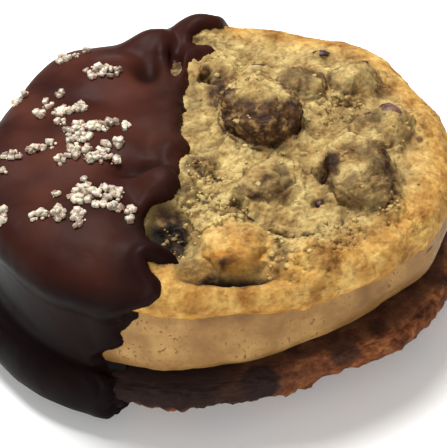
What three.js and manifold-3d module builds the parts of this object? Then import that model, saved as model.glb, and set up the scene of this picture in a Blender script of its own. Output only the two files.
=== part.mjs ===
// Half-dipped cookie ice cream sandwich: two chip cookies with a disc of ice cream between them. The left
// part of the whole stack is dipped in dark chocolate and sprinkled with coarse salt.
// Millimetres, +Z up. The origin is in the middle of the flat spot that the sandwich rests on, and the
// dip line runs roughly along Y, so that the chocolate is on the -X side.

import * as THREE from "three";
import { mergeVertices } from "three/addons/utils/BufferGeometryUtils.js";
import Module from "manifold-3d";

const wasm = await Module();
wasm.setup();

// Driving sizes of the stack.
const COOKIE_RADIUS = 42.5;
const BOTTOM_RADIUS = 44.3;
const ICE_RADIUS = 40;
const GAP = 0.3;
const BOTTOM_TOP = 11;
const ICE_LOW = BOTTOM_TOP + GAP;
const ICE_THICK = 13.3;
const TOP_LOW = ICE_LOW + ICE_THICK + GAP;
// The ice cream is thicker on the dipped side, so the upper cookie leans: it falls this much for each mm of X.
const LEAN = -0.045;
const COAT_GAP = 0.35;
const COAT_SKIN = 1.2;
const COAT_OUT = COAT_GAP + COAT_SKIN;

// How far each layer reaches from the origin, every 22.5 degrees from +X, because none of them is a true
// circle: the cookies spread as they baked, and the ice cream was pressed out towards +X and -X.
const TOP_REACH = [
  44.3, 43.6, 45.8, 43.3, 42.2, 39.4, 43.2, 41.6, 43.4, 45.0, 45.2, 43.2, 42.1, 43.0, 44.0, 44.8,
];
const ICE_REACH = [
  43.0, 41.8, 41.5, 40.8, 39.6, 37.6, 40.2, 39.8, 41.6, 42.8, 42.8, 40.8, 38.4, 36.6, 37.4, 41.0,
];
const BOTTOM_REACH = [
  44.5, 44.0, 43.5, 43.0, 42.5, 42.5, 43.5, 45.0, 47.4, 48.6, 47.4, 44.8, 43.0, 40.8, 44.6, 45.4,
];

// Half sections of the layers, as [radius, height] from the middle of the top to the middle of the bottom.
const TOP_SECTION = [
  [0, 8.6], [12, 8.6], [24, 8.2], [33, 7.2], [37.2, 7.4], [40.6, 6.2], [42.4, 3.6], [41.8, 1.3],
  [39.6, 0], [34, 0], [20, 0], [0, 0],
];
const ICE_SECTION = [
  [0, 13.3], [20, 13.3], [34, 13.3], [38, 13.1], [39.4, 11.4], [40.2, 8], [40.9, 4], [40.3, 1.2],
  [38.4, 0], [34, 0], [20, 0], [0, 0],
];
const BOTTOM_SECTION = [
  [0, 11], [20, 11], [36, 11], [41.6, 10.8], [44.1, 8.9], [43.7, 6.2], [40, 3.9], [33, 2.5],
  [24, 1.9], [12, 1.7], [0, 1.7],
];

// Chip lumps of the upper cookie: [x, y, radius, height]. Those on the -X side lie under the chocolate.
const TOP_LUMPS = [
  [8.6, 5.8, 8.2, 7.4],
  [28, 18, 6.6, 3.8],
  [17.5, 15.5, 6.2, 3.4],
  [30.5, 1, 7.4, 4],
  [26, -16, 8.8, 5.8],
  [8.5, -16, 5.8, 3.4],
  [1.5, -15, 4.6, 2],
  [-3, -11, 5, 2.4],
  [0, -25.5, 5.6, 2.8],
  [1, -33, 7.2, 4.2],
  [13.5, -35, 7.8, 2.8],
  [2, 21.5, 6.4, 2.6],
  [10.5, 25, 5.4, 2],
  [21, 26.5, 5, 1.6],
  [16, -3, 5, 1.2],
  [-1.2, 36.6, 6.4, 3.8],
  [-11.5, 32.5, 5.8, 2.6],
  [-22, 22, 10, 1.8],
  [-26, -1, 11, 1.8],
  [-12, 4, 7, 1.6],
  [-10.5, -17, 6, 1.8],
  [-24, -24, 10, 2],
  [-16, -33, 6.4, 1.8],
];
// Hollows between the lumps, written the same way: [x, y, radius, depth].
const TOP_HOLLOWS = [
  [-8.5, -26, 5.4, 2.4],
  [-11.5, 21.5, 5.4, 1.6],
  [-15, -11.5, 6, 1.4],
  [0, -40, 6.4, 1.6],
  [18.8, -13.5, 3.6, 1.6],
];
const UNDER_LUMPS = [
  [0, 0, 11, 3.4],
  [22, 13, 9, 3.8],
  [20, -17, 9.5, 4],
  [1, 26, 8.5, 3.8],
  [-2, -27, 8.5, 3.8],
  [33, -2, 7, 3.6],
  [10, 14, 6.5, 2.2],
  [9, -34, 5.5, 1.8],
  [-10, 12, 6, 2],
];
// The dip line on the top, as [x, y] from the back to the front: it has fingers, and one bay of bare dough.
const DIP_LINE = [
  [6, 56], [5, 44], [4.4, 37.5], [1, 34.4], [-2.6, 30.6], [-4.2, 25.5], [-4.6, 19], [-5.5, 13], [-5.8, 5],
  [-6, 0.5], [-4.8, -3.4], [-7, -8], [-7.2, -12.5], [-6.3, -16.4], [-8.4, -20], [-12, -21.4], [-12.8, -26],
  [-11.8, -30.6], [-8.4, -33.4], [-10.6, -36], [-10.4, -39.6], [-12, -44], [-13, -56],
];
// Down the side the line drifts away from the middle, because the chocolate drained while it set:
// [height, drift].
const DIP_DRIFT = [[-10, -11], [8, -11], [14, -9.6], [18, -7.6], [24.5, -8.2], [31, 0], [60, 0]];

// Salt: [x, y, number of grains, half length along X, half length along Y] for each group.
const SALT_GROUPS = [
  [-27.8, 27.6, 4, 2.2, 1], [-24.4, 29.2, 1, 0, 0], [-37.6, 15.4, 2, 0.8, 0.8], [-36, 17.4, 1, 0, 0],
  [-22.6, 20.4, 3, 1.4, 0.9], [-19.6, 19.2, 4, 1.8, 1.1], [-22.6, 17.8, 1, 0, 0], [-28.5, 14.6, 1, 0, 0],
  [-31.4, 11.6, 1, 0, 0], [-33, 8.6, 2, 0.7, 0.9], [-27.6, 7.6, 4, 2, 1.2], [-24.8, 9, 3, 0.8, 1.4],
  [-28.4, 3.4, 1, 0, 0], [-25.6, 1, 4, 2, 0.9], [-21.8, 1, 5, 1.8, 1], [-18.9, 3, 2, 0.9, 0.4],
  [-16.4, 1.6, 1, 0, 0], [-25, -2, 5, 1.9, 1.4], [-37.2, -4, 3, 1.5, 0.5], [-33, -3.2, 3, 1.6, 0.6],
  [-30, -2.6, 1, 0, 0], [-38.8, -7.8, 1, 0, 0], [-28.4, -7.4, 2, 0.6, 1], [-26, -6, 3, 1.1, 1.2],
  [-23.2, -7, 4, 1.1, 1.3], [-20.5, -5, 2, 0.8, 0.8], [-18, -4, 2, 0.8, 1], [-20, -8.2, 5, 2, 0.8],
  [-24.2, -13.8, 1, 0, 0], [-29, -17.2, 1, 0, 0], [-24.4, -18.4, 7, 2, 1.7], [-19.8, -18.8, 7, 2.4, 1.5],
  [-31.6, -22.8, 3, 1.6, 0.8], [-28.2, -23.4, 3, 0.9, 1.2], [-24.8, -24.8, 4, 1.1, 1.5],
  [-21.4, -22, 2, 1, 0.4], [-18.4, -22.8, 3, 1.1, 0.5], [-16, -24, 3, 0.6, 1.5], [-38.6, -20.4, 3, 0.7, 1.2],
];
const GRAIN = 1.4;
const GRAIN_SPACING = 1.9;
const SEED = 12;

// A smooth step from 0 at a to 1 at b.
function ease(a, b, value) {
  const t = THREE.MathUtils.clamp((value - a) / (b - a), 0, 1);
  return t * t * (3 - 2 * t);
}

// The reach in a direction, from the eight named ones, joined smoothly.
function reachAt(reaches, turn) {
  const place = ((turn / (2 * Math.PI)) * reaches.length + reaches.length) % reaches.length;
  const low = Math.floor(place) % reaches.length;
  const high = (low + 1) % reaches.length;
  return THREE.MathUtils.lerp(reaches[low], reaches[high], ease(0, 1, place - Math.floor(place)));
}

// The height of the highest lump at x, y. A lump is a low dome with a round shoulder.
function lumpHeight(lumps, x, y) {
  let best = 0;
  for (const [cx, cy, radius, height] of lumps) {
    const away = Math.hypot(x - cx, y - cy) / radius;
    if (away < 1) best = Math.max(best, height * Math.pow(1 - away * away, 0.95));
  }
  return best;
}

// The relief of the upper cookie: its lumps less its hollows.
function topRelief(x, y) {
  return lumpHeight(TOP_LUMPS, x, y) - lumpHeight(TOP_HOLLOWS, x, y) + 0.5 * unevenness(x, y);
}

// Slow unevenness of dough, in -1 to 1.
function unevenness(x, y) {
  return 0.5 * Math.sin(0.31 * x + 1.3) * Math.cos(0.27 * y - 0.4) + 0.5 * Math.sin(0.17 * x - 0.23 * y + 2.1);
}

// The lean of the upper layers: none at the foot of the ice cream, all of it from the top of the ice cream.
function leanAt(x, z) {
  return LEAN * x * ease(ICE_LOW, ICE_LOW + ICE_THICK, z);
}

// Turns a half section into a function from a share of the surface, 0 at the top, to [radius, height].
// favour says how many faces a stretch of the section gets.
function sectionByShare(section, base, grow, favour) {
  const curve = new THREE.SplineCurve(section.map(([r, z]) => new THREE.Vector2(r, z)));
  const line = curve.getSpacedPoints(300).map((p, i, all) => {
    const before = all[Math.max(i - 1, 0)];
    const after = all[Math.min(i + 1, all.length - 1)];
    const along = after.clone().sub(before).normalize();
    const r = i === 0 || i === all.length - 1 ? 0 : Math.max(p.x - along.y * grow, 0);
    return new THREE.Vector2(r, Math.max(p.y, 0) + along.x * grow + base);
  });
  const sums = [0];
  for (let i = 1; i < line.length; i++) {
    const area = ((line[i].x + line[i - 1].x) / 2) * line[i].distanceTo(line[i - 1]);
    sums.push(sums[i - 1] + area * favour(line[i].y));
  }
  return (share) => {
    const target = share * sums.at(-1);
    let i = 1;
    while (i < sums.length - 1 && sums[i] < target) i++;
    const t = THREE.MathUtils.clamp((target - sums[i - 1]) / (sums[i] - sums[i - 1]), 0, 1);
    return [THREE.MathUtils.lerp(line[i - 1].x, line[i].x, t), THREE.MathUtils.lerp(line[i - 1].y, line[i].y, t)];
  };
}

// A closed body from an even ball: each point of the ball slides to its place on the half section, then out
// to the layer's reach in its direction, and shape gives its final height.
function mouldedBody({ section, base, grow = 0, detail, favour, widen, shape }) {
  const at = sectionByShare(section, base, grow, favour);
  const ball = new THREE.IcosahedronGeometry(1, detail);
  ball.deleteAttribute("normal");
  ball.deleteAttribute("uv");
  const body = mergeVertices(ball, 1e-5);
  const points = body.attributes.position;
  for (let i = 0; i < points.count; i++) {
    const p = new THREE.Vector3().fromBufferAttribute(points, i).normalize();
    const [r, z] = at((1 - p.z) / 2);
    const turn = Math.atan2(p.y, p.x);
    const out = r * widen(turn, z);
    const x = out * Math.cos(turn);
    const y = out * Math.sin(turn);
    points.setXYZ(i, x, y, shape(x, y, z, r));
  }
  return body;
}

// The upper cookie: chip lumps stand out of its top, inside a smoother rim.
function topCookieBody(grow) {
  return mouldedBody({
    section: TOP_SECTION,
    base: TOP_LOW,
    grow,
    detail: 11,
    favour: (z) => (z > TOP_LOW + 0.5 ? 1 : 0.25),
    widen: (turn) => reachAt(TOP_REACH, turn) / COOKIE_RADIUS,
    shape: (x, y, z) => z + ease(TOP_LOW + 3.5, TOP_LOW + 6.5, z) * topRelief(x, y) + leanAt(x, z),
  });
}

// The ice cream: a soft disc that bulges a little towards its foot.
function iceCreamBody(grow) {
  return mouldedBody({
    section: ICE_SECTION,
    base: ICE_LOW,
    grow,
    detail: 6,
    favour: (z) => (z > ICE_LOW + ICE_THICK - 0.5 || z < ICE_LOW + 0.3 ? 0.25 : 1),
    widen: (turn) => reachAt(ICE_REACH, turn) / ICE_RADIUS,
    shape: (x, y, z) => z + leanAt(x, z),
  });
}

// The lower cookie lies upside down: its flat baked face carries the ice cream, and it stands on its lumps,
// whose tips are level.
function bottomCookieBody(grow) {
  return mouldedBody({
    section: BOTTOM_SECTION,
    base: 0,
    grow,
    detail: 9,
    favour: (z) => (z > BOTTOM_TOP - 0.3 ? 0.25 : 1),
    widen: (turn) => reachAt(BOTTOM_REACH, turn) / BOTTOM_RADIUS,
    shape: (x, y, z) => {
      const down = 1 - ease(4.5, 7.5, z);
      const bare = ease(-19, -12, x);
      const hang = lumpHeight(UNDER_LUMPS, x, y) * bare;
      const low = z - down * hang;
      return Math.max(low, grow > 0 ? -grow : 0);
    },
  });
}

// The outside of the chocolate, as if it ran round the whole stack. It pooled at the foot while it set.
const COAT_SECTION = [
  [0, TOP_LOW + 8.6 + COAT_OUT], [12, TOP_LOW + 8.6 + COAT_OUT], [24, TOP_LOW + 8.2 + COAT_OUT],
  [33, TOP_LOW + 7.3 + COAT_OUT], [38, TOP_LOW + 7.2 + COAT_OUT], [42.2, TOP_LOW + 6 + 0.7 * COAT_OUT],
  [COOKIE_RADIUS + COAT_OUT, TOP_LOW + 3.4], [43.6, TOP_LOW + 0.4], [42.2, ICE_LOW + 10.4],
  [42.3, ICE_LOW + 4.5], [42.4, ICE_LOW + 1.6], [44, ICE_LOW + 0.7], [BOTTOM_RADIUS + COAT_OUT, 8.8],
  [46.2, 5.4], [44.8, 2.6], [42.2, 0.7], [39, 0], [20, 0], [0, 0],
];

function coatOutside() {
  return mouldedBody({
    section: COAT_SECTION,
    base: 0,
    detail: 11,
    favour: (z) => (z < 0.3 ? 0.2 : 1),
    widen: (turn, z) => {
      const top = reachAt(TOP_REACH, turn) / COOKIE_RADIUS;
      const ice = (reachAt(ICE_REACH, turn) + 0.6) / (ICE_RADIUS + 0.6);
      const bottom = reachAt(BOTTOM_REACH, turn) / BOTTOM_RADIUS;
      const upper = THREE.MathUtils.lerp(Math.max(ice, top * 0.985), top, ease(ICE_LOW + 10, TOP_LOW, z));
      return THREE.MathUtils.lerp(bottom, upper, ease(ICE_LOW, ICE_LOW + 3.5, z));
    },
    shape: (x, y, z) => {
      const up = ease(TOP_LOW + 3.5, TOP_LOW + 7, z);
      return z + up * (topRelief(x, y) + 0.15) + leanAt(x, z);
    },
  });
}

// How far the dip line has drifted at a height, read off the named pairs.
function driftAt(z) {
  const above = DIP_DRIFT.findIndex(([height]) => height > z);
  const [lowZ, low] = DIP_DRIFT[above - 1];
  const [highZ, high] = DIP_DRIFT[above];
  return THREE.MathUtils.lerp(low, high, ease(lowZ, highZ, z));
}

// Everything on the dipped side of the dip line: the line's outline run through the stack from top to bottom.
function dippedSide() {
  const line = new THREE.SplineCurve(DIP_LINE.map(([x, y]) => new THREE.Vector2(x, y)));
  const outline = new THREE.Shape([
    ...line.getSpacedPoints(44),
    new THREE.Vector2(-70, -56),
    new THREE.Vector2(-70, 56),
  ]);
  const block = new THREE.ExtrudeGeometry(outline, { depth: 60, steps: 20, bevelEnabled: false });
  block.translate(0, 0, -5);
  const points = block.attributes.position;
  for (let i = 0; i < points.count; i++) {
    if (points.getX(i) > -60) points.setX(i, points.getX(i) + driftAt(points.getZ(i)));
  }
  return block;
}

// A repeatable draw of numbers from 0 to 1.
function drawer(seed) {
  let state = seed;
  return () => {
    state = (Math.imul(state, 1664525) + 1013904223) >>> 0;
    return state / 4294967296;
  };
}

function solidOf(geometry) {
  const bare = geometry.clone();
  bare.deleteAttribute("normal");
  bare.deleteAttribute("uv");
  const merged = mergeVertices(bare, 1e-4);
  const vertProperties = new Float32Array(merged.attributes.position.array);
  const triVerts = new Uint32Array(merged.index.array);
  return new wasm.Manifold(new wasm.Mesh({ numProp: 3, vertProperties, triVerts }));
}

function geometryOf(solid) {
  const mesh = solid.getMesh();
  const geometry = new THREE.BufferGeometry();
  geometry.setAttribute("position", new THREE.BufferAttribute(new Float32Array(mesh.vertProperties), 3));
  geometry.setIndex(new THREE.BufferAttribute(new Uint32Array(mesh.triVerts), 1));
  geometry.computeVertexNormals();
  return geometry;
}

// Salt crystals, half sunk in the chocolate's top. The surface height under each one comes from a ray. A
// crystal that would fall on another one is left out.
function saltGrains(coat) {
  const draw = drawer(SEED);
  const surface = new THREE.Mesh(coat);
  const ray = new THREE.Raycaster();
  const down = new THREE.Vector3(0, 0, -1);
  const places = [];
  const grains = [];
  for (const [cx, cy, count, halfX, halfY] of SALT_GROUPS) {
    for (let i = 0; i < count; i++) {
      const turn = (2 * Math.PI * (i + draw())) / count;
      const away = 0.4 + 0.6 * draw();
      const x = cx + halfX * away * Math.cos(turn);
      const y = cy + halfY * away * Math.sin(turn);
      if (places.some(([px, py]) => Math.hypot(x - px, y - py) < GRAIN_SPACING)) continue;
      places.push([x, y]);
      ray.set(new THREE.Vector3(x, y, 80), down);
      const hit = ray.intersectObject(surface)[0];
      const side = GRAIN * (0.8 + 0.5 * draw());
      const grain = new THREE.BoxGeometry(1.1 * side, 0.85 * side, side);
      grain.rotateX(Math.PI * draw());
      grain.rotateZ(Math.PI * draw());
      grains.push(grain.translate(x, y, hit.point.z + 0.15 * GRAIN));
    }
  }
  return grains;
}

const topCookie = topCookieBody(0);
const iceCream = iceCreamBody(0);
const bottomCookie = bottomCookieBody(0);

// The chocolate: its outside, kept on the dipped side, less the three layers grown by the gap, plus the salt.
const outside = coatOutside();
let chocolate = solidOf(outside).intersect(solidOf(dippedSide()));
for (const layer of [topCookieBody(COAT_GAP), iceCreamBody(COAT_GAP + 0.1), bottomCookieBody(COAT_GAP)]) {
  chocolate = chocolate.subtract(solidOf(layer));
}
for (const grain of saltGrains(outside)) {
  chocolate = chocolate.add(solidOf(grain));
}

const sandwich = new THREE.Group();
const finishes = {
  dough: new THREE.MeshStandardMaterial({ color: "#c2a25f", roughness: 0.85, metalness: 0 }),
  baked: new THREE.MeshStandardMaterial({ color: "#7a4a26", roughness: 0.85, metalness: 0 }),
  ice: new THREE.MeshStandardMaterial({ color: "#cbb084", roughness: 0.6, metalness: 0 }),
  chocolate: new THREE.MeshStandardMaterial({ color: "#3a1d18", roughness: 0.35, metalness: 0 }),
};

function addPiece(name, geometry, finish) {
  const piece = new THREE.Mesh(geometry, finishes[finish]);
  piece.name = name;
  sandwich.add(piece);
}

addPiece("top_cookie", topCookie, "dough");
addPiece("ice_cream", iceCream, "ice");
addPiece("bottom_cookie", bottomCookie, "baked");
addPiece("chocolate_dip", geometryOf(chocolate), "chocolate");

export default sandwich;
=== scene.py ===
# %% [markdown]
# # A half-dipped cookie ice cream sandwich
# Two chip cookies hold a thick disc of ice cream, and the left part of the stack was dipped in dark chocolate
# and sprinkled with coarse salt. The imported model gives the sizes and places, and this lesson gives each layer
# its crumb, its colour and its gloss. Lengths are in millimetres until a piece is finished, and metres after.

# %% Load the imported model
import math
import random

import bmesh
import bpy
from mathutils import Matrix, Vector, noise
from mathutils.bvhtree import BVHTree


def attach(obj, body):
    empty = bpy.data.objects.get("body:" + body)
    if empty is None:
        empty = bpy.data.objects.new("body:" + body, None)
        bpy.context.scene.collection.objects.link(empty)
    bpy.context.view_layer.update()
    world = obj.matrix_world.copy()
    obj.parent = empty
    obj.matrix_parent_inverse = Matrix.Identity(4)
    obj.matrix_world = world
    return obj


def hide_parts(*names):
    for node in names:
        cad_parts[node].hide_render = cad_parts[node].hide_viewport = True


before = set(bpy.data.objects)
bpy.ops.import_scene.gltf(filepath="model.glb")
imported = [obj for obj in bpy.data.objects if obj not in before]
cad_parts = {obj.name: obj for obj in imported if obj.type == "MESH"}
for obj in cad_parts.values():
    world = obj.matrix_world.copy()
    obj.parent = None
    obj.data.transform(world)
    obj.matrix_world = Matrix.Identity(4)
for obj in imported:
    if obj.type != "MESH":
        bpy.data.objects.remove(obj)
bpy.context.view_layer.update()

PER_METRE = 1000

# %% [markdown]
# The camera looks down at the front of the sandwich from about 38 degrees, a little rolled. The values come
# from matching the rims of the layers to the picture. A long lens keeps the far rim nearly as wide as the near
# one. The picture isn't centred on the sandwich, so the lens is shifted by a few hundredths.

# %% Camera
PICTURE = (447, 448)
FOCAL_PX = 1736.5
OFF_CENTRE_PX = (-2.1, -21.7)
TARGET = Vector((0, 0, 0.018))
DISTANCE = 0.33126
ELEVATION = math.radians(38.18)
ROLL = math.radians(4.67)

away = Vector((0, -math.cos(ELEVATION), math.sin(ELEVATION)))
level = Vector((1, 0, 0))
upright = away.cross(level)
camera_right = math.cos(ROLL) * level - math.sin(ROLL) * upright
camera_up = math.sin(ROLL) * level + math.cos(ROLL) * upright

lens = bpy.data.cameras.new("camera")
lens.sensor_width = 36
lens.lens = FOCAL_PX / max(PICTURE) * lens.sensor_width
lens.shift_x = -OFF_CENTRE_PX[0] / max(PICTURE)
lens.shift_y = OFF_CENTRE_PX[1] / max(PICTURE)
camera = bpy.data.objects.new("camera", lens)
turn = Matrix((camera_right, camera_up, away)).transposed()
camera.matrix_world = Matrix.Translation(TARGET + DISTANCE * away) @ turn.to_4x4()
bpy.context.scene.collection.objects.link(camera)
bpy.context.scene.camera = camera
bpy.context.scene.view_settings.view_transform = "Standard"
print("lens", round(lens.lens, 1), "mm")

# %% [markdown]
# The layers are round but not true circles. Each has sixteen reaches, one for each direction from +X round,
# and a half section that says how thick it is from the middle to the rim. The same values made the solids.

# %% Sizes of the layers, in mm
COOKIE_RADIUS = 42.5
BOTTOM_RADIUS = 44.3
ICE_RADIUS = 40
GAP = 0.3
BOTTOM_TOP = 11
ICE_LOW = BOTTOM_TOP + GAP
ICE_THICK = 13.3
TOP_THICK = 8.6
TOP_LOW = ICE_LOW + ICE_THICK + GAP
TOP_PLANE = TOP_LOW + TOP_THICK
LEAN = -0.045
COAT_SKIN = 1.55

TOP_REACH = [44.3, 43.6, 45.8, 43.3, 42.2, 39.4, 43.2, 41.6, 43.4, 45.0, 45.2, 43.2, 42.1, 43.0, 44.0, 44.8]
ICE_REACH = [43.0, 41.8, 41.5, 40.8, 39.6, 37.6, 40.2, 39.8, 41.6, 42.8, 42.8, 40.8, 38.4, 36.6, 37.4, 41.0]
BOTTOM_REACH = [44.5, 44.0, 43.5, 43.0, 42.5, 42.5, 43.5, 45.0, 47.4, 48.6, 47.4, 44.8, 43.0, 40.8, 44.6, 45.4]

TOP_SECTION = [(0, 8.6), (12, 8.6), (24, 8.2), (33, 7.2), (37.2, 7.4), (40.6, 6.2), (42.4, 3.6), (41.8, 1.3),
               (39.6, 0), (34, 0), (20, 0), (0, 0)]
ICE_SECTION = [(0, 13.3), (20, 13.3), (34, 13.3), (38, 13.1), (39.4, 11.4), (40.2, 8), (40.9, 4), (40.3, 1.2),
               (38.4, 0), (34, 0), (20, 0), (0, 0)]
BOTTOM_SECTION = [(0, 11), (20, 11), (36, 11), (41.6, 10.8), (44.1, 8.9), (43.7, 6.2), (40, 3.9), (33, 2.5),
                  (24, 1.9), (12, 1.7), (0, 1.7)]
COAT_SECTION = [(0, TOP_PLANE + 1.5), (12, TOP_PLANE + 1.5), (24, TOP_PLANE + 1.1), (33, TOP_PLANE + 0.2),
                (38, TOP_PLANE + 0.1), (42.2, TOP_LOW + 7.1), (44, TOP_LOW + 3.4), (43.6, TOP_LOW + 0.4),
                (42.2, ICE_LOW + 10.4), (42.3, ICE_LOW + 4.5), (42.4, ICE_LOW + 1.6), (44, ICE_LOW + 0.7),
                (45.8, 8.8), (46.2, 5.4), (44.8, 2.6), (42.2, 0.7), (39, 0), (20, 0), (0, 0)]
print("stack height", round(TOP_PLANE, 1), "mm before the lumps")


# %% [markdown]
# A layer starts as an even ball, because a ball has no seam and its triangles are all of one size. Each point
# of the ball slides to its place on the half section, and from there out to the reach in its direction. A
# lathe would be simpler, but its triangles crowd at the middle, just where the crumb has to be even.

# %% Helpers for curves
CURVE_STEPS = 24


def ease(a, b, value):
    """A smooth step from 0 at a to 1 at b."""
    t = min(max((value - a) / (b - a), 0), 1)
    return t * t * (3 - 2 * t)


def mix(a, b, share):
    return a + (b - a) * share


def curve_through(points, pieces):
    """Evenly spaced points on a smooth curve through the named ones."""
    ends = [points[0], *points, points[-1]]
    line = []
    for p0, p1, p2, p3 in zip(ends, ends[1:], ends[2:], ends[3:]):
        for i in range(CURVE_STEPS):
            t = i / CURVE_STEPS
            line.append(tuple(
                0.5 * (2 * b + (c - a) * t + (2 * a - 5 * b + 4 * c - d) * t * t
                       + (3 * b - a - 3 * c + d) * t ** 3)
                for a, b, c, d in zip(p0, p1, p2, p3)))
    line.append(tuple(points[-1]))
    sums = [0]
    for a, b in zip(line, line[1:]):
        sums.append(sums[-1] + math.dist(a, b))
    spaced, at = [], 0
    for k in range(pieces + 1):
        target = sums[-1] * k / pieces
        while at < len(sums) - 2 and sums[at + 1] < target:
            at += 1
        share = (target - sums[at]) / max(sums[at + 1] - sums[at], 1e-9)
        spaced.append(tuple(mix(a, b, share) for a, b in zip(line[at], line[at + 1])))
    return spaced


def reach_at(reaches, turn):
    """The reach in the direction of a turn about Z, between the named reaches."""
    place = (turn / math.tau * len(reaches)) % len(reaches)
    low = int(place) % len(reaches)
    return mix(reaches[low], reaches[(low + 1) % len(reaches)], ease(0, 1, place - int(place)))


print("the upper cookie reaches", round(reach_at(TOP_REACH, math.pi), 1), "mm towards -X")


# %% From a ball to a layer
SECTION_PIECES = 300


def section_by_share(section, base, favour):
    """A function from a share of the surface, 0 at the top, to a radius and a height.

    A height that favour gives less than 1 gets fewer points.
    """
    line = [(max(r, 0), z + base) for r, z in curve_through(section, SECTION_PIECES)]
    sums = [0]
    for (r0, z0), (r1, z1) in zip(line, line[1:]):
        sums.append(sums[-1] + (r0 + r1) / 2 * math.dist((r0, z0), (r1, z1)) * favour(z1))

    def place(share):
        target, low, high = share * sums[-1], 0, len(sums) - 1
        while high - low > 1:
            middle = (low + high) // 2
            low, high = (middle, high) if sums[middle] < target else (low, middle)
        t = (target - sums[low]) / max(sums[high] - sums[low], 1e-9)
        return mix(line[low][0], line[high][0], t), mix(line[low][1], line[high][1], t)
    return place


def layer_from_ball(fineness, section, base, favour, widen, finer_where=()):
    """A ball slid onto a section. Each test in finer_where splits the edges of its region once."""
    bm = bmesh.new()
    bmesh.ops.create_icosphere(bm, subdivisions=fineness, radius=1)
    place = section_by_share(section, base, favour)

    def target(point):
        r, z = place((1 - point.z) / 2)
        turn = math.atan2(point.y, point.x)
        out = r * widen(turn, z)
        return Vector((out * math.cos(turn), out * math.sin(turn), z))

    for wanted in finer_where:
        chosen = {v for v in bm.verts if wanted(target(v.co.normalized()))}
        edges = [e for e in bm.edges if all(v in chosen for v in e.verts)]
        bmesh.ops.subdivide_edges(bm, edges=edges, cuts=1, use_grid_fill=True)
        bmesh.ops.triangulate(bm, faces=bm.faces[:])
    for v in bm.verts:
        v.co = target(v.co.normalized())
    bm.normal_update()
    return bm


# %% [markdown]
# Chips of chocolate in the dough bake into round lumps. Low lumps only raise the surface. The tall ones have
# steep sides, so their points are slid round a dome instead of lifted, on a foot that spreads into the dough.
# Lumps under the chocolate raise the chocolate too. Each lump is x, y, radius and height, with the radius along
# Y at the end if it is oval, and a hollow is written in the same way, with its depth. A tall lump is x, y, two
# radii, height and the degrees that its dome turns through: past 90 it overhangs its foot.

# %% Lumps and hollows, in mm
TALL_LUMPS = [(8.8, 2.7, 6.9, 8.5, 7.8, 112), (24.7, -15.2, 6, 9.4, 6, 94), (31, 0.8, 6.8, 6.6, 3.8, 60),
              (28, 17.4, 6.2, 5.8, 3.4, 60), (17.3, 15.2, 5.8, 6, 2.4, 55), (8.2, -15, 5.2, 5.6, 3.2, 66),
              (2, -31.8, 6.4, 4.6, 4, 88)]
LOW_LUMPS = [(1.5, -15, 4.6, 1.4), (-3, -11, 5, 2.2), (0.5, -25.5, 5, 2.2, 3.4), (13.5, -34, 7.4, 2.4, 5),
             (2, 21.5, 6.4, 2), (9, 20, 5.4, 2.2, 3.4), (15, -13, 2.6, 1.4, 7), (4, -5, 5, 1.2),
             (21, 26.5, 4, 1.4, 3), (16, -4, 5, 1),
             (-1.2, 36.6, 6.4, 3.8), (-11.5, 32.5, 5.8, 2.6), (-22, 22, 10, 1.8), (-26, -1, 11, 1.8),
             (-12, 4, 7, 1.6), (-10.5, -17, 6, 1.8), (-24, -24, 10, 2), (-16, -33, 6.4, 1.8)]
HOLLOWS = [(-9.4, -26.5, 4.6, 3.6, 7), (-12.5, 21.5, 3.2, 2.6, 5.4), (-14.5, -11, 6, 2, 2.4),
           (0, -37.6, 8.8, 3.6, 2), (19, -14, 2, 3.2, 3.2), (9.6, -27.6, 2.8, 1.8, 1.6),
           (2.7, -20.8, 1.4, 2.8, 2.8), (-1.2, 19.6, 1.3, 2.8, 2.2), (14.2, -0.6, 1.4, 2.6, 2.4),
           (17, -20.6, 1.6, 1, 1.6), (25, -38, 1.2, 1.2), (-5.5, -19, 2, 1.4), (-2.5, -8.6, 3, 1.4, 1.6)]
print(len(TALL_LUMPS), "tall lumps,", len(LOW_LUMPS), "low lumps,", len(HOLLOWS), "hollows")

# %% Soft relief of the upper cookie
LUMP_SPREAD = 1.6


def height_of(lumps, x, y):
    best = 0
    for cx, cy, across, height, *deep in lumps:
        share = (((x - cx) / across) ** 2 + ((y - cy) / (deep[0] if deep else across)) ** 2) / LUMP_SPREAD
        if share < 1:
            best = max(best, height * (1 - share) ** 2)
    return best


def unevenness(x, y):
    return (0.5 * math.sin(0.31 * x + 1.3) * math.cos(0.27 * y - 0.4)
            + 0.5 * math.sin(0.17 * x - 0.23 * y + 2.1))


def soft_relief(x, y):
    return height_of(LOW_LUMPS, x, y) - height_of(HOLLOWS, x, y) + 0.5 * unevenness(x, y)


def lean_at(x, z):
    """The upper layers lean a little, more so from the foot of the ice cream to its top."""
    return LEAN * x * ease(ICE_LOW, ICE_LOW + ICE_THICK, z)


print("relief at the bay of the dip line:", round(soft_relief(-9.4, -26.5), 1), "mm")

# %% [markdown]
# A noise vector makes the foot of each tall lump uneven. Blender takes the offsets of such vectors from the
# clock, so the same script would give other lumps each time. A seed makes every run the same.

# %% Domes of the tall lumps
FOOT_SHARE = 0.26
SKIRT_REACH = 1.55
noise.seed_set(5)


def dome_share(lump, x, y):
    """How far a place is from the middle of an oval: 1 at its edge."""
    cx, cy, rx, ry, *_ = lump
    return math.hypot((x - cx) / rx, (y - cy) / ry)


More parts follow.
